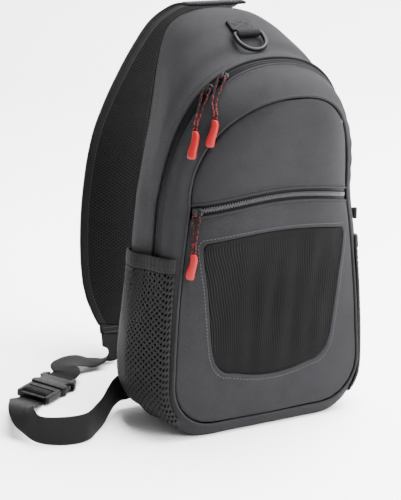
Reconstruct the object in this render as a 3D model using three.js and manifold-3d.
// Fishing tackle sling bag: a tapered zipped body that stands on its base, with two
// net side pockets, a net window in the front pocket, and one wide padded strap that
// comes over the back and ends in webbing with a side release buckle.
// Millimetres, +X to the right seen from the front, the front faces -Y, +Z up.
// The origin lies on the floor, under the middle of the base.

import * as THREE from 'three';
import { mergeVertices } from 'three/addons/utils/BufferGeometryUtils.js';
import Module from 'manifold-3d';

const wasm = await Module();
wasm.setup();

// Body
const bagHeight = 424;
const baseWidth = 222;
const waistWidth = 204;
const waistHeight = 238;
const bodyDepth = 118;
const backPlane = 60;
const baseCorner = 46;
const sideFlare = 3;
const clothWall = 2;
const seamGap = 0.35;
const backPadding = 10;

// Front face
const faceCrown = 27;
const frontZipHeight = 251;
const frontZipArch = 13;
const zipWidth = 14;
const windowTop = 214;
const windowHeight = 147;
const windowWidth = 166;
const netWall = 1;

// Side pockets
const pocketTop = 170;
const pocketDip = 14;
const pocketBulge = 18;
const pocketMouth = 6;
const hemHeight = 15;
const hemWall = 2.6;
const pocketWall = 1.5;
const pocketSeat = 0.95;

// Zip sliders and pulls
const sliderLength = 11;
const sliderWidth = 8;
const sliderBase = 2.4;
const bridgeWidth = 2.6;
const bridgeWire = 1.2;
const pullCord = 2.4;
const pullDrop = 66;
const gripWidth = 9;
const gripThick = 6;
const fitGap = 0.4;
const sliderRises = [0.8656, 0.8396];

// Carry loop on the top
const tabWidth = 25;
const tabWall = 1.5;
const tabLength = 24;
const ringWire = 4.5;
const ringWidth = 36;
const ringReach = 24;
const ringLean = 37;
const ringOffset = -6;

// Shoulder strap
const strapWidth = 80;
const strapPadding = 5;
const strapMesh = 2.6;
const strapReach = 207;
const strapDrift = 45;
const bindingWidth = 9;
const patchLength = 11;

// Webbing and buckle
const webbingWidth = 30;
const webbingThick = 1.8;
const looseSpread = 245;
const looseBack = 215;
const femaleLength = 34;
const maleLength = 31;
const buckleWidth = 44;
const buckleThick = 10;
const barThick = 4.4;
const buckleHeading = 216;
const buckleRoll = -7;
const buckleSpot = { across: -0.669, back: 0.656, up: 0.275 };

const { lerp, degToRad, smoothstep } = THREE.MathUtils;

// Cross loops of the body, from its back edge to the front seam. side and top are how
// far forward the loop lies, as shares of the depth; base, waist and brow are shares of
// the half widths; rise and lift are shares of the height; the rest shapes the shoulder.
const bodyLoops = [
  { side: 0.00, top: 0.00, rise: 0.010, lift: 0.998, base: 0.925, waist: 0.873, brow: 0.55, square: 14, round: 2.5, lean: 1 },
  { side: 0.05, top: 0.10, rise: 0.000, lift: 1.000, base: 0.960, waist: 0.915, brow: 0.57, square: 12, round: 2.5, lean: 1 },
  { side: 0.20, top: 0.30, rise: 0.000, lift: 0.995, base: 0.990, waist: 0.975, brow: 0.63, square: 8.5, round: 2.5, lean: 1 },
  { side: 0.34, top: 0.49, rise: 0.000, lift: 0.974, base: 1.010, waist: 1.010, brow: 0.72, square: 6.5, round: 2.4, lean: 1 },
  { side: 0.44, top: 0.68, rise: 0.000, lift: 0.943, base: 1.020, waist: 1.025, brow: 0.84, square: 5.0, round: 2.3, lean: 1 },
  { side: 0.52, top: 0.79, rise: 0.000, lift: 0.917, base: 1.025, waist: 1.035, brow: 0.91, square: 4.0, round: 2.25, lean: 1 },
  { side: 0.61, top: 1.00, rise: 0.000, lift: 0.907, base: 1.030, waist: 1.040, brow: 0.980, square: 3.2, round: 2.2, lean: 1 },
  { side: 0.75, top: 1.085, rise: 0.000, lift: 0.894, base: 1.030, waist: 1.045, brow: 0.930, square: 3.0, round: 2.2, lean: 1.1 },
  { side: 0.92, top: 1.25, rise: 0.000, lift: 0.866, base: 1.025, waist: 1.020, brow: 0.940, square: 2.7, round: 2.2, lean: 1.6 },
  { side: 1.00, top: 1.415, rise: 0.032, lift: 0.830, base: 1.000, waist: 0.912, brow: 0.912, square: 2.4, round: 2.2, lean: 2.2 },
];
const zipOuterLoop = 6;
const zipInnerLoop = 7;
const seamLoop = 9;

// How much of the crown the middle of the front face has at each share of its height
const crownProfile = [
  { height: 0.00, crown: 0.06 },
  { height: 0.10, crown: 0.22 },
  { height: 0.31, crown: 0.42 },
  { height: 0.59, crown: 0.88 },
  { height: 0.67, crown: 1.00 },
  { height: 0.85, crown: 0.96 },
  { height: 0.94, crown: 0.52 },
  { height: 1.00, crown: 0.04 },
];

// Half width of the net window and the sag of each row, from its foot to its head
const windowRows = [
  { height: 0.000, half: 0.500, sag: 0.045 },
  { height: 0.012, half: 0.640, sag: 0.040 },
  { height: 0.045, half: 0.725, sag: 0.036 },
  { height: 0.095, half: 0.792, sag: 0.032 },
  { height: 0.165, half: 0.834, sag: 0.028 },
  { height: 0.280, half: 0.862, sag: 0.022 },
  { height: 0.450, half: 0.892, sag: 0.014 },
  { height: 0.620, half: 0.924, sag: 0.000 },
  { height: 0.780, half: 0.964, sag: -0.020 },
  { height: 0.900, half: 0.985, sag: -0.038 },
  { height: 0.965, half: 0.985, sag: -0.048 },
  { height: 1.000, half: 0.945, sag: -0.052 },
];

// The strap from its root on the top to its tongue: drift and reach are shares of the
// strap's own, height of the bag's, width of the strap's
const strapRows = [
  { drift: 0.00, reach: -0.050, height: 1.010, width: 0.84, thick: 0.50 },
  { drift: 0.00, reach: 0.020, height: 1.010, width: 0.92, thick: 0.60 },
  { drift: 0.00, reach: 0.100, height: 1.000, width: 0.99, thick: 0.85 },
  { drift: 0.02, reach: 0.310, height: 0.955, width: 1.00, thick: 1.00 },
  { drift: 0.06, reach: 0.527, height: 0.870, width: 1.00, thick: 1.00 },
  { drift: 0.11, reach: 0.705, height: 0.781, width: 1.00, thick: 1.00 },
  { drift: 0.16, reach: 0.802, height: 0.722, width: 1.00, thick: 1.00 },
  { drift: 0.25, reach: 0.920, height: 0.634, width: 0.98, thick: 1.00 },
  { drift: 0.33, reach: 0.980, height: 0.550, width: 0.97, thick: 1.00 },
  { drift: 0.43, reach: 1.000, height: 0.463, width: 0.96, thick: 1.00 },
  { drift: 0.53, reach: 0.996, height: 0.381, width: 0.95, thick: 1.00 },
  { drift: 0.60, reach: 0.980, height: 0.310, width: 0.94, thick: 1.00 },
  { drift: 0.68, reach: 0.950, height: 0.250, width: 0.91, thick: 0.98 },
  { drift: 0.76, reach: 0.913, height: 0.198, width: 0.85, thick: 0.95 },
  { drift: 0.84, reach: 0.872, height: 0.158, width: 0.74, thick: 0.88 },
  { drift: 0.92, reach: 0.825, height: 0.124, width: 0.58, thick: 0.75 },
  { drift: 1.00, reach: 0.775, height: 0.098, width: 0.42, thick: 0.60 },
];

// Middle line of the webbing from the strap's tongue to the buckle: across and back are
// shares of how far the loose webbing lies out and back, up is in webbing widths, and
// yaw and lean turn its width, in degrees
const upperWebbing = [
  { across: -0.206, back: 0.962, up: 0.84, yaw: 4, lean: 0 },
  { across: -0.222, back: 0.947, up: 0.50, yaw: 18, lean: 0 },
  { across: -0.266, back: 0.940, up: 0.30, yaw: 42, lean: 0 },
  { across: -0.327, back: 0.944, up: 0.25, yaw: 58, lean: 0 },
  { across: -0.392, back: 0.938, up: 0.38, yaw: 70, lean: 4 },
  { across: -0.457, back: 0.905, up: 0.48, yaw: 88, lean: 3 },
  { across: -0.510, back: 0.850, up: 0.52, yaw: 106, lean: 3 },
];

// Middle line of the webbing from the buckle round to the foot of the bag
const lowerWebbing = [
  { across: -0.853, back: 0.451, up: 0.47, yaw: 122, lean: 3 },
  { across: -0.903, back: 0.316, up: 0.77, yaw: 120, lean: 0 },
  { across: -0.946, back: 0.200, up: 0.95, yaw: 118, lean: -6 },
  { across: -0.966, back: 0.110, up: 0.84, yaw: 118, lean: -36 },
  { across: -0.945, back: 0.030, up: 0.60, yaw: 120, lean: -72 },
  { across: -0.865, back: -0.023, up: 0.52, yaw: 124, lean: -90 },
  { across: -0.759, back: -0.037, up: 0.52, yaw: 124, lean: -90 },
  { across: -0.665, back: 0.056, up: 0.52, yaw: 124, lean: -90 },
  { across: -0.598, back: 0.140, up: 0.54, yaw: 124, lean: -90 },
  { across: -0.547, back: 0.205, up: 0.66, yaw: 124, lean: -90 },
  { across: -0.497, back: 0.262, up: 0.76, yaw: 124, lean: -90 },
];

// Where each zip pull hangs: out, forward and down from its slider, as shares of the
// pull's drop, at the middle of its cord, at the top of its grip and at the grip's end
const pulls = [
  { name: '1', midOut: 0.27, midForward: 0.20, midDown: 0.32, topOut: 0.34, topForward: 0.34, topDown: 0.54, endOut: 0.40, endForward: 0.34, endDown: 0.94 },
  { name: '2', midOut: 0.23, midForward: 0.11, midDown: 0.32, topOut: 0.34, topForward: 0.19, topDown: 0.55, endOut: 0.41, endForward: 0.25, endDown: 0.95 },
  { name: '3', midOut: 0.08, midForward: 0.04, midDown: 0.36, topOut: 0.12, topForward: 0.07, topDown: 0.62, endOut: 0.16, endForward: 0.07, endDown: 1.01 },
];

// Outline of a rubber grip from its top to its end
const gripRows = [
  { along: 0.00, width: 0.50, thick: 0.62, sway: 0.00 },
  { along: 0.05, width: 0.72, thick: 0.85, sway: 0.02 },
  { along: 0.20, width: 0.82, thick: 0.95, sway: 0.05 },
  { along: 0.45, width: 0.86, thick: 1.00, sway: 0.02 },
  { along: 0.70, width: 0.98, thick: 1.00, sway: -0.04 },
  { along: 0.88, width: 1.00, thick: 0.95, sway: -0.05 },
  { along: 0.96, width: 0.86, thick: 0.78, sway: -0.05 },
  { along: 1.00, width: 0.55, thick: 0.45, sway: -0.05 },
];

const colours = {
  cloth: 0x585a5d,
  darkCloth: 0x3c3b3d,
  net: 0x1e1c1e,
  binding: 0x151516,
  webbing: 0x2a2a2c,
  plastic: 0x1c1c1d,
  grip: 0xd9343c,
  cord: 0x3a2a28,
};

function finish(colour, roughness) {
  return new THREE.MeshStandardMaterial({ color: colour, roughness, metalness: 0 });
}

const group = new THREE.Group();

function add(name, geometry, material) {
  const mesh = new THREE.Mesh(geometry, material);
  mesh.name = name;
  group.add(mesh);
  return mesh;
}

// A geometry from points and triangles, turned so that its faces point out
function closedGeometry(points, triangles) {
  let volume = 0;
  for (const [a, b, c] of triangles) {
    volume += points[a].dot(new THREE.Vector3().crossVectors(points[b], points[c]));
  }
  const turned = volume < 0 ? triangles.map(([a, b, c]) => [a, c, b]) : triangles;
  const geometry = new THREE.BufferGeometry();
  geometry.setAttribute('position', new THREE.Float32BufferAttribute(points.flatMap((p) => p.toArray()), 3));
  geometry.setIndex(turned.flat());
  geometry.computeVertexNormals();
  return geometry;
}

// A solid through closed sections with the same number of points. It closes on itself,
// or ends in two caps.
function loft(sections, ring = false) {
  const size = sections[0].length;
  const points = sections.flat();
  const triangles = [];
  const last = ring ? sections.length : sections.length - 1;
  for (let i = 0; i < last; i += 1) {
    const here = i * size;
    const next = ((i + 1) % sections.length) * size;
    for (let j = 0; j < size; j += 1) {
      const k = (j + 1) % size;
      triangles.push([here + j, next + j, next + k], [here + j, next + k, here + k]);
    }
  }
  if (!ring) {
    for (const [start, flip] of [[0, false], [(sections.length - 1) * size, true]]) {
      const middle = new THREE.Vector3();
      for (let j = 0; j < size; j += 1) middle.add(points[start + j]);
      points.push(middle.divideScalar(size));
      for (let j = 0; j < size; j += 1) {
        const k = (j + 1) % size;
        const cap = [points.length - 1, start + j, start + k];
        triangles.push(flip ? [cap[0], cap[2], cap[1]] : cap);
      }
    }
  }
  return closedGeometry(points, triangles);
}

// The direction that a grid of points faces at one of them
function gridNormal(grid, i, j) {
  const rows = grid.length;
  const columns = grid[0].length;
  const along = grid[i][(j + 1) % columns].clone().sub(grid[i][(j + columns - 1) % columns]);
  const over = grid[Math.min(i + 1, rows - 1)][j].clone().sub(grid[Math.max(i - 1, 0)][j]);
  return along.cross(over).normalize();
}

// A wall between an outer and an inner grid of points. Its columns close on
// themselves if it goes right around.
function wallBetween(outer, inner, around = false) {
  const rows = outer.length;
  const columns = outer[0].length;
  const points = [...outer.flat(), ...inner.flat()];
  const triangles = [];
  const quad = (a, b, c, d) => triangles.push([a, b, c], [a, c, d]);
  const at = (i, j) => i * columns + (j % columns);
  const under = (i, j) => rows * columns + at(i, j);
  const spans = around ? columns : columns - 1;
  for (let i = 0; i < rows - 1; i += 1) {
    for (let j = 0; j < spans; j += 1) {
      quad(at(i, j), at(i, j + 1), at(i + 1, j + 1), at(i + 1, j));
      quad(under(i, j), under(i + 1, j), under(i + 1, j + 1), under(i, j + 1));
    }
  }
  for (let j = 0; j < spans; j += 1) {
    quad(at(0, j), under(0, j), under(0, j + 1), at(0, j + 1));
    quad(at(rows - 1, j), at(rows - 1, j + 1), under(rows - 1, j + 1), under(rows - 1, j));
  }
  if (!around) {
    for (let i = 0; i < rows - 1; i += 1) {
      quad(at(i, 0), at(i + 1, 0), under(i + 1, 0), under(i, 0));
      quad(at(i, columns - 1), under(i, columns - 1), under(i + 1, columns - 1), at(i + 1, columns - 1));
    }
  }
  return closedGeometry(points, triangles);
}

// Body loops
const bottomSteps = 3;
const cornerSteps = 5;
const sideSteps = 7;
const shoulderSteps = 12;
const halfSteps = bottomSteps + cornerSteps + sideSteps + shoulderSteps;

function shoulderPoint(row, angle) {
  const climb = Math.sin(angle) ** (2 / row.square);
  const half = lerp(row.waist, row.brow, climb) * waistWidth / 2;
  const width = half * Math.cos(angle) ** (2 / row.round);
  const top = row.lift * bagHeight;
  const depth = lerp(row.side, row.top, climb ** row.lean) * bodyDepth;
  return new THREE.Vector3(width, backPlane - depth, lerp(waistHeight, top, climb));
}

function evenly(points, steps) {
  const lengths = [0];
  for (let i = 1; i < points.length; i += 1) {
    lengths.push(lengths[i - 1] + points[i].distanceTo(points[i - 1]));
  }
  const total = lengths[lengths.length - 1];
  const result = [];
  let i = 0;
  for (let step = 0; step <= steps; step += 1) {
    const target = total * step / steps;
    while (i < points.length - 2 && lengths[i + 1] < target) i += 1;
    const share = (target - lengths[i]) / (lengths[i + 1] - lengths[i]);
    result.push(points[i].clone().lerp(points[i + 1], share));
  }
  return result;
}

function halfLoop(row) {
  const base = row.base * baseWidth / 2;
  const waist = row.waist * waistWidth / 2;
  const floor = row.rise * bagHeight;
  const y = backPlane - row.side * bodyDepth;
  const points = [];
  for (let i = 0; i < bottomSteps; i += 1) {
    points.push(new THREE.Vector3((base - baseCorner) * i / bottomSteps, y, floor));
  }
  for (let i = 0; i < cornerSteps; i += 1) {
    const turn = (Math.PI / 2) * i / cornerSteps;
    const x = base - baseCorner * (1 - Math.sin(turn));
    points.push(new THREE.Vector3(x, y, floor + baseCorner * (1 - Math.cos(turn))));
  }
  for (let i = 0; i < sideSteps; i += 1) {
    const share = i / sideSteps;
    const x = lerp(base, waist, share) + sideFlare * 4 * share * (1 - share);
    points.push(new THREE.Vector3(x, y, lerp(floor + baseCorner, waistHeight, share)));
  }
  const fine = 160;
  const shoulder = Array.from({ length: fine + 1 }, (_, i) => shoulderPoint(row, (Math.PI / 2) * i / fine));
  return [...points, ...evenly(shoulder, shoulderSteps)];
}

function mirrored(point) {
  return new THREE.Vector3(-point.x, point.y, point.z);
}

function wholeLoop(row) {
  const half = halfLoop(row);
  return [...half, ...half.slice(1, -1).reverse().map(mirrored)];
}

const loops = bodyLoops.map(wholeLoop);
const linings = loops.map((loop, i) => loop.map((point, j) => (
  point.clone().addScaledVector(gridNormal(loops, i, j), -clothWall))));

function between(loopA, loopB, distance) {
  return loopA.map((point, j) => {
    const span = point.distanceTo(loopB[j]);
    return point.clone().lerp(loopB[j], distance / span);
  });
}

// Part of a loop from one place to another, both counted in steps from the bottom
function stretch(loop, from, to) {
  const at = (place) => {
    const j = Math.floor(place);
    return loop[(j + loop.length) % loop.length].clone().lerp(loop[(j + 1 + loop.length) % loop.length], place - j);
  };
  const places = [from];
  for (let j = Math.floor(from) + 1; j < to; j += 1) places.push(j);
  places.push(to);
  return places.map(at);
}

// Body pieces
const zipOuter = loops[zipOuterLoop];
const zipInner = loops[zipInnerLoop];
add('main_shell', wallBetween(loops.slice(0, zipOuterLoop + 1), linings.slice(0, zipOuterLoop + 1), true),
  finish(colours.cloth, 0.9));
add('front_gusset', wallBetween(loops.slice(zipInnerLoop), linings.slice(zipInnerLoop), true),
  finish(colours.cloth, 0.9));

const zipEnd = bottomSteps + cornerSteps + sideSteps * 0.72;
const zipStep = seamGap / zipInner[bottomSteps + cornerSteps].distanceTo(zipInner[bottomSteps + cornerSteps + 1]);

function zipWall(from, to) {
  const rows = (rear, front) => {
    const edges = [between(rear, front, seamGap), between(front, rear, seamGap)];
    return edges.map((line) => stretch(line, from + zipStep / 2, to - zipStep / 2));
  };
  return wallBetween(rows(zipOuter, zipInner), rows(linings[zipOuterLoop], linings[zipInnerLoop]));
}

add('main_zip', zipWall(zipEnd, 2 * halfSteps - zipEnd), finish(colours.net, 0.7));
add('hinge_strip', zipWall(-zipEnd, zipEnd), finish(colours.cloth, 0.9));

function shrunk(loop, share, y) {
  const middle = new THREE.Vector3(0, 0, waistHeight * 0.85);
  return loop.map((point) => {
    const moved = point.clone().sub(middle).multiplyScalar(share).add(middle);
    return new THREE.Vector3(moved.x, y, moved.z);
  });
}

const backRows = [
  { size: 1.00, depth: 0.00 },
  { size: 1.00, depth: 0.35 },
  { size: 0.97, depth: 0.75 },
  { size: 0.88, depth: 0.95 },
  { size: 0.60, depth: 1.00 },
];
add('back_panel', loft(backRows.map((row) => (
  shrunk(loops[0], row.size, backPlane + seamGap + row.depth * backPadding)))), finish(colours.net, 0.95));

// Front face: its edge runs just inside the wall of the seam, and it is crowned within
const faceInset = clothWall + seamGap;
const seamHalf = loops[seamLoop].slice(0, halfSteps + 1);
const faceEdge = seamHalf.map((point, j) => {
  const along = seamHalf[Math.min(j + 1, halfSteps)].clone().sub(seamHalf[Math.max(j - 1, 0)]);
  if (j === 0 || j === halfSteps) along.set(j === 0 ? 1 : -1, 0, 0);
  const inward = new THREE.Vector3(-along.z, 0, along.x).normalize();
  return point.clone().addScaledVector(inward, faceInset).setX(Math.max(point.x + inward.x * faceInset, 0));
});
const faceFoot = faceEdge[0].z;
const faceHead = faceEdge[halfSteps].z;

function edgeAt(z) {
  const height = THREE.MathUtils.clamp(z, faceFoot, faceHead);
  let j = 1;
  while (j < halfSteps && faceEdge[j].z < height) j += 1;
  const low = faceEdge[j - 1];
  const high = faceEdge[j];
  const share = high.z > low.z ? (height - low.z) / (high.z - low.z) : 1;
  return { half: lerp(low.x, high.x, share), y: lerp(low.y, high.y, share) };
}

const crownCurve = new THREE.CatmullRomCurve3(
  crownProfile.map((row) => new THREE.Vector3(row.height, row.crown, 0)), false, 'centripetal');
const crownPoints = crownCurve.getPoints(80);

function crownAt(z) {
  const height = THREE.MathUtils.clamp((z - faceFoot) / (faceHead - faceFoot), 0, 1);
  let j = 1;
  while (j < crownPoints.length - 1 && crownPoints[j].x < height) j += 1;
  const share = (height - crownPoints[j - 1].x) / (crownPoints[j].x - crownPoints[j - 1].x);
  return faceCrown * lerp(crownPoints[j - 1].y, crownPoints[j].y, share);
}

function facePoint(x, z) {
  const edge = edgeAt(z);
  const reach = edge.half > 0 ? Math.min(Math.abs(x) / edge.half, 1) : 0;
  return new THREE.Vector3(x, edge.y - crownAt(z) * (1 - reach ** 4), z);
}

// A patch of the face: rows with the height of their middle and of their ends
const faceColumns = 12;

function faceNormal(x, z) {
  const step = 1.5;
  const across = facePoint(x + step, z).sub(facePoint(x - step, z));
  const up = facePoint(x, z + step).sub(facePoint(x, z - step));
  return across.cross(up).normalize();
}

function sunk(point, depth) {
  return point.clone().addScaledVector(faceNormal(point.x, point.z), -depth);
}

function facePatch(rows) {
  return rows.map((row) => Array.from({ length: faceColumns + 1 }, (_, j) => {
    const share = (2 * j) / faceColumns - 1;
    return facePoint(share * row.half, lerp(row.middle, row.ends, share * share));
  }));
}

function faceWall(grid, wall, around = false) {
  return wallBetween(grid, grid.map((row) => row.map((point) => sunk(point, wall))), around);
}

function patchRow(height, middle = height) {
  return { middle, ends: height, half: edgeAt(height).half };
}

const zipEnds = frontZipHeight - frontZipArch;
const lowerRows = windowRows.map((row) => {
  const height = lerp(faceFoot, zipEnds - zipWidth / 2, row.height ** 1.25);
  return patchRow(height, lerp(faceFoot, frontZipHeight - zipWidth / 2, row.height ** 1.25));
});
const upperRows = [0, 0.2, 0.4, 0.58, 0.72, 0.84, 0.92, 0.97, 0.995].map((share) => (
  patchRow(lerp(zipEnds + zipWidth / 2, faceHead, share), lerp(frontZipHeight + zipWidth / 2, faceHead, share))));
const bandRows = [seamGap, zipWidth / 2, zipWidth - seamGap].map((rise) => (
  patchRow(zipEnds - zipWidth / 2 + rise, frontZipHeight - zipWidth / 2 + rise)));

function windowPatchRows(grow) {
  const middle = windowTop - windowHeight / 2;
  return windowRows.map((row) => {
    const height = windowTop - windowHeight * (1 - row.height) + windowHeight * Math.min(row.sag, 0);
    const bowed = windowTop - windowHeight * (1 - row.height) - windowHeight * Math.max(row.sag, 0);
    const size = 1 + (2 * grow) / windowHeight;
    return {
      middle: middle + (bowed - middle) * size,
      ends: middle + (height - middle) * size,
      half: row.half * windowWidth / 2 + grow,
    };
  });
}

function rim(grid) {
  const foot = grid[0];
  const head = grid[grid.length - 1];
  const right = grid.slice(1, -1).map((row) => row[faceColumns]);
  const left = grid.slice(1, -1).map((row) => row[0]).reverse();
  return [...foot, ...right, ...head.slice().reverse(), ...left];
}

add('front_panel_upper', faceWall(facePatch(upperRows), clothWall), finish(colours.cloth, 0.9));
add('front_zip', faceWall(facePatch(bandRows), clothWall), finish(colours.net, 0.7));

const windowRim = rim(facePatch(windowPatchRows(2 * seamGap)));
const panelRim = rim(facePatch(lowerRows));
const panelRings = [0, 0.3, 0.65, 1].map((share) => windowRim.map((point, j) => {
  const x = lerp(point.x, panelRim[j].x, share);
  return facePoint(x, lerp(point.z, panelRim[j].z, share));
}));
add('front_panel_lower', faceWall(panelRings, clothWall, true), finish(colours.cloth, 0.9));
add('window_net', faceWall(facePatch(windowPatchRows(0)), netWall), finish(colours.net, 0.8));

// Side pockets: a net wall that leaves the side of the body at its foot and at both
// seams and bags out below an elastic hem
function bodyPoint(loopPlace, place) {
  const i = Math.min(Math.floor(loopPlace), loops.length - 2);
  const j = Math.floor(place);
  const near = loops[i][j].clone().lerp(loops[i][j + 1], place - j);
  const far = loops[i + 1][j].clone().lerp(loops[i + 1][j + 1], place - j);
  return near.lerp(far, loopPlace - i);
}

function placeAtHeight(loopPlace, height) {
  let low = bottomSteps;
  let high = halfSteps;
  for (let i = 0; i < 30; i += 1) {
    const middle = (low + high) / 2;
    if (bodyPoint(loopPlace, middle).z < height) low = middle;
    else high = middle;
  }
  return low;
}

const pocketBack = 0.35;
const pocketFront = 8.55;
const pocketFoot = bottomSteps + cornerSteps * 0.45;
const pocketUp = 10;
const pocketColumns = [pocketBack];
for (let place = 1; place <= pocketFront; place += 1) pocketColumns.push(place);
pocketColumns.push(pocketFront);

function pocketPoint(loopPlace, up, proud) {
  const across = (loopPlace - pocketBack) / (pocketFront - pocketBack);
  const top = pocketTop + pocketDip * (across - 0.5);
  const mouth = placeAtHeight(loopPlace, top);
  const place = up <= 1 ? lerp(pocketFoot, mouth, up) : placeAtHeight(loopPlace, top + (up - 1) * pocketTop);
  const point = bodyPoint(loopPlace, place);
  const side = bodyPoint(loopPlace, Math.min(place + 0.5, halfSteps)).sub(bodyPoint(loopPlace, place - 0.5));
  const forward = bodyPoint(Math.min(loopPlace + 0.4, loops.length - 1), place)
    .sub(bodyPoint(Math.max(loopPlace - 0.4, 0), place));
  const normal = side.cross(forward).normalize();
  const belly = Math.sin(Math.PI * across ** 0.9) ** 0.75;
  const rise = up < 0.45 ? smoothstep(up, 0, 0.45) : lerp(1, pocketMouth / pocketBulge, smoothstep(up, 0.45, 1.05));
  return point.addScaledVector(normal, pocketSeat + proud + pocketBulge * belly * rise);
}

function pocketGrid(from, to, steps, proud, turn) {
  return pocketColumns.map((loopPlace) => Array.from({ length: steps + 1 }, (_, j) => (
    turn(pocketPoint(loopPlace, lerp(from, to, j / steps), proud)))));
}

const hemStep = seamGap / pocketTop;
const hemTop = 1 + hemHeight / pocketTop;
for (const [side, turn] of [['left', mirrored], ['right', (point) => point]]) {
  const net = wallBetween(pocketGrid(0, 1, pocketUp, pocketWall, turn), pocketGrid(0, 1, pocketUp, 0, turn));
  const hem = wallBetween(
    pocketGrid(1 + hemStep, hemTop, 2, hemWall, turn),
    pocketGrid(1 + hemStep, hemTop, 2, 0, turn),
  );
  add(`side_pocket_${side}`, net, finish(colours.net, 0.9));
  add(`pocket_hem_${side}`, hem, finish(colours.binding, 0.85));
}

// Flat bands: a row of stations with a middle point and the direction of the width
function smoothed(stations, steps) {
  const curve = (points) => new THREE.CatmullRomCurve3(points, false, 'centripetal');
  const middle = curve(stations.map((station) => station.point));
  const across = curve(stations.map((station) => station.across));
  const count = (stations.length - 1) * steps;
  return Array.from({ length: count + 1 }, (_, i) => {
    const at = i / steps;
    const k = Math.min(Math.floor(at), stations.length - 2);
    const share = at - k;
    const blend = (key) => lerp(stations[k][key] ?? 1, stations[k + 1][key] ?? 1, share);
    return { point: middle.getPoint(i / count), across: across.getPoint(i / count), width: blend('width'), thick: blend('thick') };
  });
}

function bandSections(stations, edges) {
  return stations.map((station, i) => {
    const before = stations[Math.max(i - 1, 0)].point;
    const after = stations[Math.min(i + 1, stations.length - 1)].point;
    const along = after.clone().sub(before).normalize();
    const face = along.clone().cross(station.across).normalize();
    const across = face.clone().cross(along).normalize();
    return edges(station).map(([side, height]) => (
      station.point.clone().addScaledVector(across, side).addScaledVector(face, height)));
  });
}

function webbingBand(stations) {
  const side = webbingWidth / 2;
  const height = webbingThick / 2;
  return loft(bandSections(stations, () => [[-side, -height], [side, -height], [side, height], [-side, height]]));
}

// Strap
const strapStations = smoothed(strapRows.map((row) => ({
  point: new THREE.Vector3(-row.drift * strapDrift, backPlane + row.reach * strapReach, row.height * bagHeight),
  across: new THREE.Vector3(1, 0, 0),
  width: row.width,
  thick: row.thick,
})), 2);
const strapThick = strapPadding + seamGap + strapMesh;

function padEdges(station) {
  const side = station.width * strapWidth / 2 - bindingWidth - seamGap;
  const outer = -station.thick * strapThick / 2;
  const inner = outer + station.thick * strapPadding;
  const crown = outer + station.thick * strapPadding * 0.3;
  return [[-side, crown], [-side * 0.72, outer], [side * 0.72, outer], [side, crown], [side, inner], [-side, inner]];
}

function meshEdges(station) {
  const side = station.width * strapWidth / 2 - bindingWidth - seamGap;
  const outer = -station.thick * strapThick / 2 + station.thick * strapPadding + seamGap;
  const inner = Math.max(station.thick * strapThick / 2, outer + strapMesh * 0.4);
  return [[-side, outer], [side, outer], [side, inner], [-side, inner]];
}

function bindingEdges(turn) {
  return (station) => {
    const rim = station.width * strapWidth / 2;
    const half = station.thick * strapThick * 0.36;
    return [[rim - bindingWidth, -half], [rim, -half * 0.7], [rim, half * 0.7], [rim - bindingWidth, half]]
      .map(([side, height]) => [turn * side, height]);
  };
}

add('strap_pad', loft(bandSections(strapStations, padEdges)), finish(colours.cloth, 0.9));
add('strap_mesh', loft(bandSections(strapStations, meshEdges)), finish(colours.net, 0.95));
add('strap_binding_left', loft(bandSections(strapStations, bindingEdges(-1))), finish(colours.binding, 0.8));
add('strap_binding_right', loft(bandSections(strapStations, bindingEdges(1))), finish(colours.binding, 0.8));

// Buckle: heading along its length, width across, and the webbing through it
const buckle = new THREE.Group();
buckle.position.set(buckleSpot.across * looseSpread, buckleSpot.back * looseBack, buckleSpot.up * webbingWidth);
buckle.rotation.set(degToRad(buckleRoll), 0, degToRad(buckleHeading), 'ZYX');
buckle.updateMatrixWorld(true);

function solidOf(geometry) {
  const bare = geometry.clone();
  bare.deleteAttribute('normal');
  bare.deleteAttribute('uv');
  const merged = mergeVertices(bare, 1e-4);
  return new wasm.Manifold(new wasm.Mesh({
    numProp: 3,
    vertProperties: new Float32Array(merged.attributes.position.array),
    triVerts: new Uint32Array(merged.index.array),
  }));
}

function geometryOf(solid) {
  const mesh = solid.getMesh();
  const geometry = new THREE.BufferGeometry();
  geometry.setAttribute('position', new THREE.Float32BufferAttribute(mesh.vertProperties, 3));
  geometry.setIndex(new THREE.BufferAttribute(mesh.triVerts, 1));
  geometry.computeVertexNormals();
  return geometry;
}

function block(x0, x1, y0, y1, z0, z1) {
  const geometry = new THREE.BoxGeometry(x1 - x0, y1 - y0, z1 - z0);
  geometry.translate((x0 + x1) / 2, (y0 + y1) / 2, (z0 + z1) / 2);
  return solidOf(geometry);
}

function plate(points, thickness, bevel = 0.8) {
  const shape = new THREE.Shape(points.map(([x, y]) => new THREE.Vector2(x, y)));
  const geometry = new THREE.ExtrudeGeometry(shape, {
    depth: thickness - 2 * bevel,
    bevelEnabled: true,
    bevelThickness: bevel,
    bevelSize: bevel,
    bevelOffset: -bevel,
    bevelSegments: 1,
  });
  geometry.translate(0, 0, bevel - thickness / 2);
  return solidOf(geometry);
}

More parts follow.
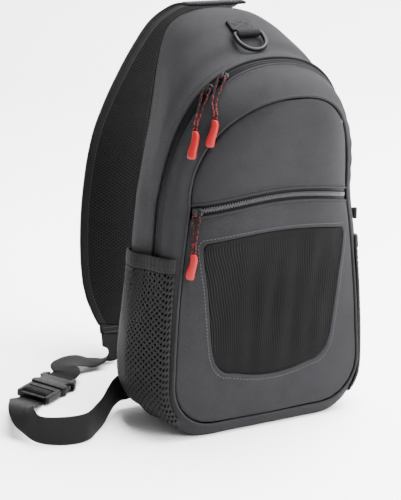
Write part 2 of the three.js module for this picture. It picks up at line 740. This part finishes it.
const half = buckleWidth / 2;
const slotHalf = webbingWidth / 2 + fitGap;
const prongOut = half - 2;
const femaleSide = [
  [-femaleLength, half - 5], [-femaleLength + 2, half - 2.5], [-femaleLength + 6, half - 0.5], [-22, half],
  [-20, half - 1.5], [-18, half - 5], [-12, half - 5], [-9.5, half - 1.5], [-7, half], [-3, half - 0.5], [0, half - 2.5],
];
const femaleOutline = [...femaleSide, ...femaleSide.slice().reverse().map(([x, y]) => [x, -y])];
const female = plate(femaleOutline, buckleThick)
  .subtract(block(-24, 1, -slotHalf, slotHalf, -2.9, 2.9))
  .subtract(block(-23, -8, -half - 1, half + 1, -2.9, 2.9))
  .subtract(block(-femaleLength + 3, -femaleLength + 8.5, -slotHalf, slotHalf, -buckleThick, buckleThick))
  .subtract(block(-femaleLength - 1, -femaleLength + 8.5, -slotHalf, slotHalf, 1.4, buckleThick));

const armSide = [
  [2, 13], [2, 14.8], [-8.6, 14.8], [-10.6, prongOut], [-19, prongOut], [-21, 14.5], [-21, 12], [-12, 12], [-4, 11],
];
const mirrorArm = armSide.map(([x, y]) => [x, -y]).reverse();
const rail = half - 2;
const slotOne = maleLength * 0.379;
const slotTwo = maleLength * 0.75;
const slotReach = maleLength * 0.089;
const male = plate([[0.4, -rail + 2], [2.4, -rail], [maleLength - 2, -rail], [maleLength, -rail + 2],
  [maleLength, rail - 2], [maleLength - 2, rail], [2.4, rail], [0.4, rail - 2]], 7.4)
  .subtract(block(slotOne - slotReach, slotOne + slotReach, -slotHalf, slotHalf, -buckleThick, buckleThick))
  .subtract(block(slotTwo - slotReach, slotTwo + slotReach, -slotHalf, slotHalf, -buckleThick, buckleThick))
  .subtract(block(slotOne - slotReach, maleLength + 1, -slotHalf, slotHalf, barThick / 2, buckleThick))
  .subtract(block(slotOne - slotReach, maleLength + 1, -slotHalf, slotHalf, -buckleThick, -barThick / 2))
  .add(plate(armSide, 5, 0.4))
  .add(plate(mirrorArm, 5, 0.4));
for (const [name, solid] of [['buckle_female', female], ['buckle_male', male]]) {
  const mesh = new THREE.Mesh(geometryOf(solid), finish(colours.plastic, 0.45));
  mesh.name = name;
  buckle.add(mesh);
}
group.add(buckle);

function inBuckle(along, up) {
  const across = new THREE.Vector3(0, -1, 0).transformDirection(buckle.matrixWorld);
  return { point: new THREE.Vector3(along, 0, up).applyMatrix4(buckle.matrixWorld), across };
}

function looseStation(row) {
  const yaw = degToRad(row.yaw);
  const lean = degToRad(row.lean);
  return {
    point: new THREE.Vector3(row.across * looseSpread, row.back * looseBack, row.up * webbingWidth),
    across: new THREE.Vector3(Math.cos(lean) * Math.cos(yaw), Math.cos(lean) * Math.sin(yaw), Math.sin(lean)),
  };
}

// The tongue's sewn patch and the upper webbing, down and round into the buckle
const strapEnd = strapStations[strapStations.length - 1];
const strapFall = strapEnd.point.clone().sub(strapStations[strapStations.length - 2].point).normalize();
const patchStart = strapEnd.point.clone().addScaledVector(strapFall, seamGap);
const patchEnd = patchStart.clone().addScaledVector(strapFall, patchLength);
const patchStations = [patchStart, patchEnd].map((point) => ({ point, across: strapEnd.across }));
const patchHalf = webbingWidth / 2 + 1;
add('strap_end_patch', loft(bandSections(patchStations, () => [
  [-patchHalf, -webbingThick], [patchHalf, -webbingThick], [patchHalf, webbingThick], [-patchHalf, webbingThick]])),
finish(colours.webbing, 0.85));
const webbingStart = patchEnd.clone().addScaledVector(strapFall, seamGap);
const webbingLead = webbingStart.clone().addScaledVector(strapFall, patchLength / 3);
add('webbing_upper', webbingBand([
  ...smoothed([
    { point: webbingStart, across: strapEnd.across },
    { point: webbingLead, across: strapEnd.across },
    ...upperWebbing.map(looseStation),
    inBuckle(-femaleLength - 10, 5.5),
    inBuckle(-femaleLength - 1, 3.1),
    inBuckle(-femaleLength + 4.2, 2.6),
  ], 3),
  inBuckle(-femaleLength + 5.8, 1.2),
  inBuckle(-femaleLength + 6, -3),
]), finish(colours.webbing, 0.85));

// The lower webbing, over the middle bar and round to the foot of the bag
const overBar = barThick / 2 + fitGap + webbingThick / 2 + 0.2;
const rearSeam = loops[0];
const anchorReach = 6;
const anchorSpan = rearSeam.slice(bottomSteps + 2, bottomSteps + cornerSteps + 1);
const anchorEdge = -rearSeam[bottomSteps + cornerSteps].x - anchorReach;
const anchorDepth = backPlane + seamGap + 1.6;
add('webbing_lower', webbingBand([
  inBuckle(slotOne, -webbingThick * 1.4),
  inBuckle(slotOne, overBar - webbingThick * 0.8),
  inBuckle(slotOne + slotReach * 0.6, overBar),
  inBuckle((slotOne + slotTwo) / 2, overBar),
  inBuckle(slotTwo - slotReach * 0.6, overBar),
  inBuckle(slotTwo, overBar - webbingThick * 0.8),
  inBuckle(slotTwo + slotReach * 0.15, -webbingThick),
  inBuckle(slotTwo + slotReach * 0.7, -overBar),
  ...smoothed([
    inBuckle(maleLength - 2, -overBar),
    inBuckle(maleLength * 1.1, -overBar),
    ...lowerWebbing.map(looseStation),
    {
      point: new THREE.Vector3(anchorEdge - 7 * seamGap, anchorDepth, webbingWidth * 0.8),
      across: new THREE.Vector3(0, 0, -1),
    },
  ], 3),
]), finish(colours.webbing, 0.85));

const anchorShape = new THREE.Shape([
  ...anchorSpan.map((point) => new THREE.Vector2(-point.x - 2 * seamGap, point.z)),
  new THREE.Vector2(anchorEdge, webbingWidth * 1.28),
  new THREE.Vector2(anchorEdge, webbingWidth * 0.32),
]);
const anchor = new THREE.ExtrudeGeometry(anchorShape, { depth: webbingThick, bevelEnabled: false });
anchor.rotateX(Math.PI / 2);
anchor.translate(0, anchorDepth + webbingThick / 2, 0);
add('anchor_tab', anchor, finish(colours.webbing, 0.85));

// Carry loop: a folded tab down the dome and the ring in its fold
const domeBack = loops[3][halfSteps];
const domeFront = loops[4][halfSteps];
const domeFall = domeFront.clone().sub(domeBack).normalize();
const domeOut = new THREE.Vector3(0, domeFall.z, -domeFall.y);
const barRadius = ringWire / 2;
const foldInner = barRadius + fitGap;
const foldOuter = foldInner + tabWall;
const barSpot = domeBack.clone().addScaledVector(domeFall, tabLength).addScaledVector(domeOut, seamGap + foldOuter);
const foldHole = new THREE.Path().absarc(tabLength, foldOuter, foldInner, 0, Math.PI * 2, true);
const foldShape = new THREE.Shape();
foldShape.moveTo(0.3, 0);
foldShape.lineTo(tabLength, 0);
foldShape.absarc(tabLength, foldOuter, foldOuter, -Math.PI / 2, Math.PI * 0.78, false);
foldShape.lineTo(tabLength * 0.62, tabWall * 2);
foldShape.lineTo(0.3, tabWall * 2);
foldShape.holes.push(foldHole);
const tab = new THREE.ExtrudeGeometry(foldShape, { depth: tabWidth, bevelEnabled: false, curveSegments: 10 });
const domeTurn = new THREE.Matrix4().makeBasis(domeFall, domeOut, domeFall.clone().cross(domeOut));
domeTurn.setPosition(domeBack.clone().addScaledVector(domeOut, seamGap)
  .addScaledVector(domeFall.clone().cross(domeOut), -tabWidth / 2));
tab.applyMatrix4(domeTurn);
tab.translate(ringOffset, 0, 0);
add('ring_tab', tab, finish(colours.webbing, 0.85));

const ringHalf = ringWidth / 2 - barRadius;
const ringLeg = ringReach - ringHalf;
const barHalf = tabWidth / 2 + fitGap;
const bow = Array.from({ length: 11 }, (_, i) => degToRad(10 + 16 * i))
  .map((turn) => [ringHalf * Math.cos(turn), ringLeg + ringHalf * Math.sin(turn)]);
const ringLine = [
  [-barHalf, 0], [0, 0], [barHalf, 0], [barHalf + 1.6, 0.4],
  [ringHalf, ringWire * 0.6], [ringHalf, ringLeg], ...bow, [-ringHalf, ringLeg], [-ringHalf, ringWire * 0.6],
  [-barHalf - 1.6, 0.4],
].map(([x, out]) => new THREE.Vector3(x, out, 0));
const ringSteps = ringLine.length;
const ringSides = 8;
const ringSections = ringLine.map((point, i) => {
  const along = ringLine[(i + 1) % ringSteps].clone().sub(ringLine[(i + ringSteps - 1) % ringSteps]).normalize();
  const up = new THREE.Vector3(0, 0, 1);
  const across = along.clone().cross(up);
  return Array.from({ length: ringSides }, (_, k) => {
    const turn = (2 * Math.PI * k) / ringSides;
    return point.clone().addScaledVector(across, barRadius * Math.cos(turn)).addScaledVector(up, barRadius * Math.sin(turn));
  });
});
const ring = add('d_ring', loft(ringSections, true), finish(colours.plastic, 0.4));
ring.position.set(ringOffset, barSpot.y, barSpot.z);
ring.rotation.set(Math.PI + degToRad(ringLean), 0, 0);

// Zip sliders with their cords and grips
function frameOf(forward, normal) {
  const side = normal.clone().cross(forward).normalize();
  return new THREE.Matrix4().makeBasis(normal.clone().cross(side).negate(), side, normal);
}

function roundedPlate(length, width, thickness) {
  const round = Math.min(length, width) * 0.3;
  const x = length / 2;
  const y = width / 2;
  const corners = [[x, -y], [x, y], [-x, y], [-x, -y]];
  const outline = corners.flatMap(([cx, cy], i) => [-45, 0, 45].map((offset) => {
    const turn = degToRad(-45 + 90 * i + offset);
    return [cx - Math.sign(cx) * round + round * Math.cos(turn), cy - Math.sign(cy) * round + round * Math.sin(turn)];
  }));
  return plate(outline, thickness, 0.5);
}

function sliderParts(row, spot, normal, zipAlong) {
  const offset = (out, forward, down) => (
    new THREE.Vector3(-out, -forward, -down).multiplyScalar(pullDrop).add(spot));
  const middle = offset(row.midOut, row.midForward, row.midDown);
  const top = offset(row.topOut, row.topForward, row.topDown);
  const end = offset(row.endOut, row.endForward, row.endDown);
  const hang = middle.clone().sub(spot).projectOnPlane(normal).normalize();
  const side = normal.clone().cross(hang).normalize();
  const hole = pullCord + 2 * fitGap;
  const legs = hole + 2.4 + 2 * bridgeWire;
  const base = roundedPlate(sliderLength, sliderWidth, sliderBase)
    .transform(frameOf(zipAlong, normal).toArray());
  const roof = sliderBase / 2 + hole;
  const inside = legs / 2 - bridgeWire;
  const arch = block(-legs / 2, legs / 2, -bridgeWidth / 2, bridgeWidth / 2, 0, roof + bridgeWire)
    .subtract(block(-inside, inside, -bridgeWidth, bridgeWidth, sliderBase / 2, roof))
    .transform(frameOf(hang, normal).toArray());
  const slider = geometryOf(base.add(arch));
  const seat = spot.clone().addScaledVector(normal, seamGap + sliderBase / 2);
  slider.translate(seat.x, seat.y, seat.z);
  add(`zip_slider_${row.name}`, slider, finish(colours.plastic, 0.4));

  const bend = bridgeWidth / 2 + 2 * fitGap + pullCord / 2;
  const eye = seat.clone().addScaledVector(normal, sliderBase / 2 + hole / 2);
  const gripAxis = end.clone().sub(top).normalize();
  const gripSide = side.clone().projectOnPlane(gripAxis).normalize();
  const strand = (sign) => [
    top.clone().addScaledVector(gripAxis, -seamGap).addScaledVector(gripSide, sign * pullCord * 0.62),
    top.clone().addScaledVector(gripAxis, -5).addScaledVector(gripSide, sign * pullCord * 0.62),
    middle.clone().addScaledVector(side, sign * pullCord * 0.8),
    eye.clone().addScaledVector(hang, 7).addScaledVector(normal, fitGap).addScaledVector(side, sign * bend),
    eye.clone().addScaledVector(hang, bend).addScaledVector(side, sign * bend),
    eye.clone().addScaledVector(hang, bend * 0.29).addScaledVector(side, sign * bend * 0.71),
  ];
  const path = new THREE.CatmullRomCurve3([...strand(1), eye, ...strand(-1).reverse()], false, 'centripetal');
  const section = new THREE.Shape(Array.from({ length: 8 }, (_, k) => (
    new THREE.Vector2(Math.cos(k * Math.PI / 4), Math.sin(k * Math.PI / 4)).multiplyScalar(pullCord / 2))));
  const cord = new THREE.ExtrudeGeometry(section, { steps: 26, bevelEnabled: false, extrudePath: path });
  add(`pull_cord_${row.name}`, cord, finish(colours.cord, 0.9));

  const gripFace = gripAxis.clone().cross(gripSide).normalize();
  const gripLength = end.distanceTo(top);
  const grip = loft(gripRows.map((station) => {
    const middlePoint = top.clone().addScaledVector(gripAxis, station.along * gripLength)
      .addScaledVector(gripSide, station.sway * gripLength);
    return Array.from({ length: 12 }, (_, k) => {
      const turn = (Math.PI * k) / 6;
      return middlePoint.clone()
        .addScaledVector(gripSide, station.width * gripWidth / 2 * Math.sign(Math.cos(turn)) * Math.abs(Math.cos(turn)) ** 0.8)
        .addScaledVector(gripFace, station.thick * gripThick / 2 * Math.sign(Math.sin(turn)) * Math.abs(Math.sin(turn)) ** 0.8);
    });
  }));
  add(`pull_grip_${row.name}`, grip, finish(colours.grip, 0.6));
}

// The main zip's two sliders stand on its left shoulder and the front zip's at its left end
sliderRises.forEach((rise, i) => {
  const place = placeAtHeight(zipOuterLoop + 0.5, rise * bagHeight);
  const left = (point) => mirrored(point);
  const spot = left(bodyPoint(zipOuterLoop + 0.5, place));
  const ahead = left(bodyPoint(zipOuterLoop + 0.5, place + 0.4)).sub(left(bodyPoint(zipOuterLoop + 0.5, place - 0.4)));
  const over = left(bodyPoint(zipInnerLoop, place)).sub(left(bodyPoint(zipOuterLoop, place)));
  sliderParts(pulls[i], spot, over.cross(ahead).normalize(), ahead.normalize());
});

const frontSliderX = -(edgeAt(zipEnds).half - sliderLength * 0.45);
const frontSliderZ = frontZipHeight - frontZipArch * (frontSliderX / edgeAt(zipEnds).half) ** 2;
const frontAlong = facePoint(frontSliderX + 3, frontSliderZ).sub(facePoint(frontSliderX - 3, frontSliderZ)).normalize();
sliderParts(pulls[2], facePoint(frontSliderX, frontSliderZ), faceNormal(frontSliderX, frontSliderZ), frontAlong);

export default group;
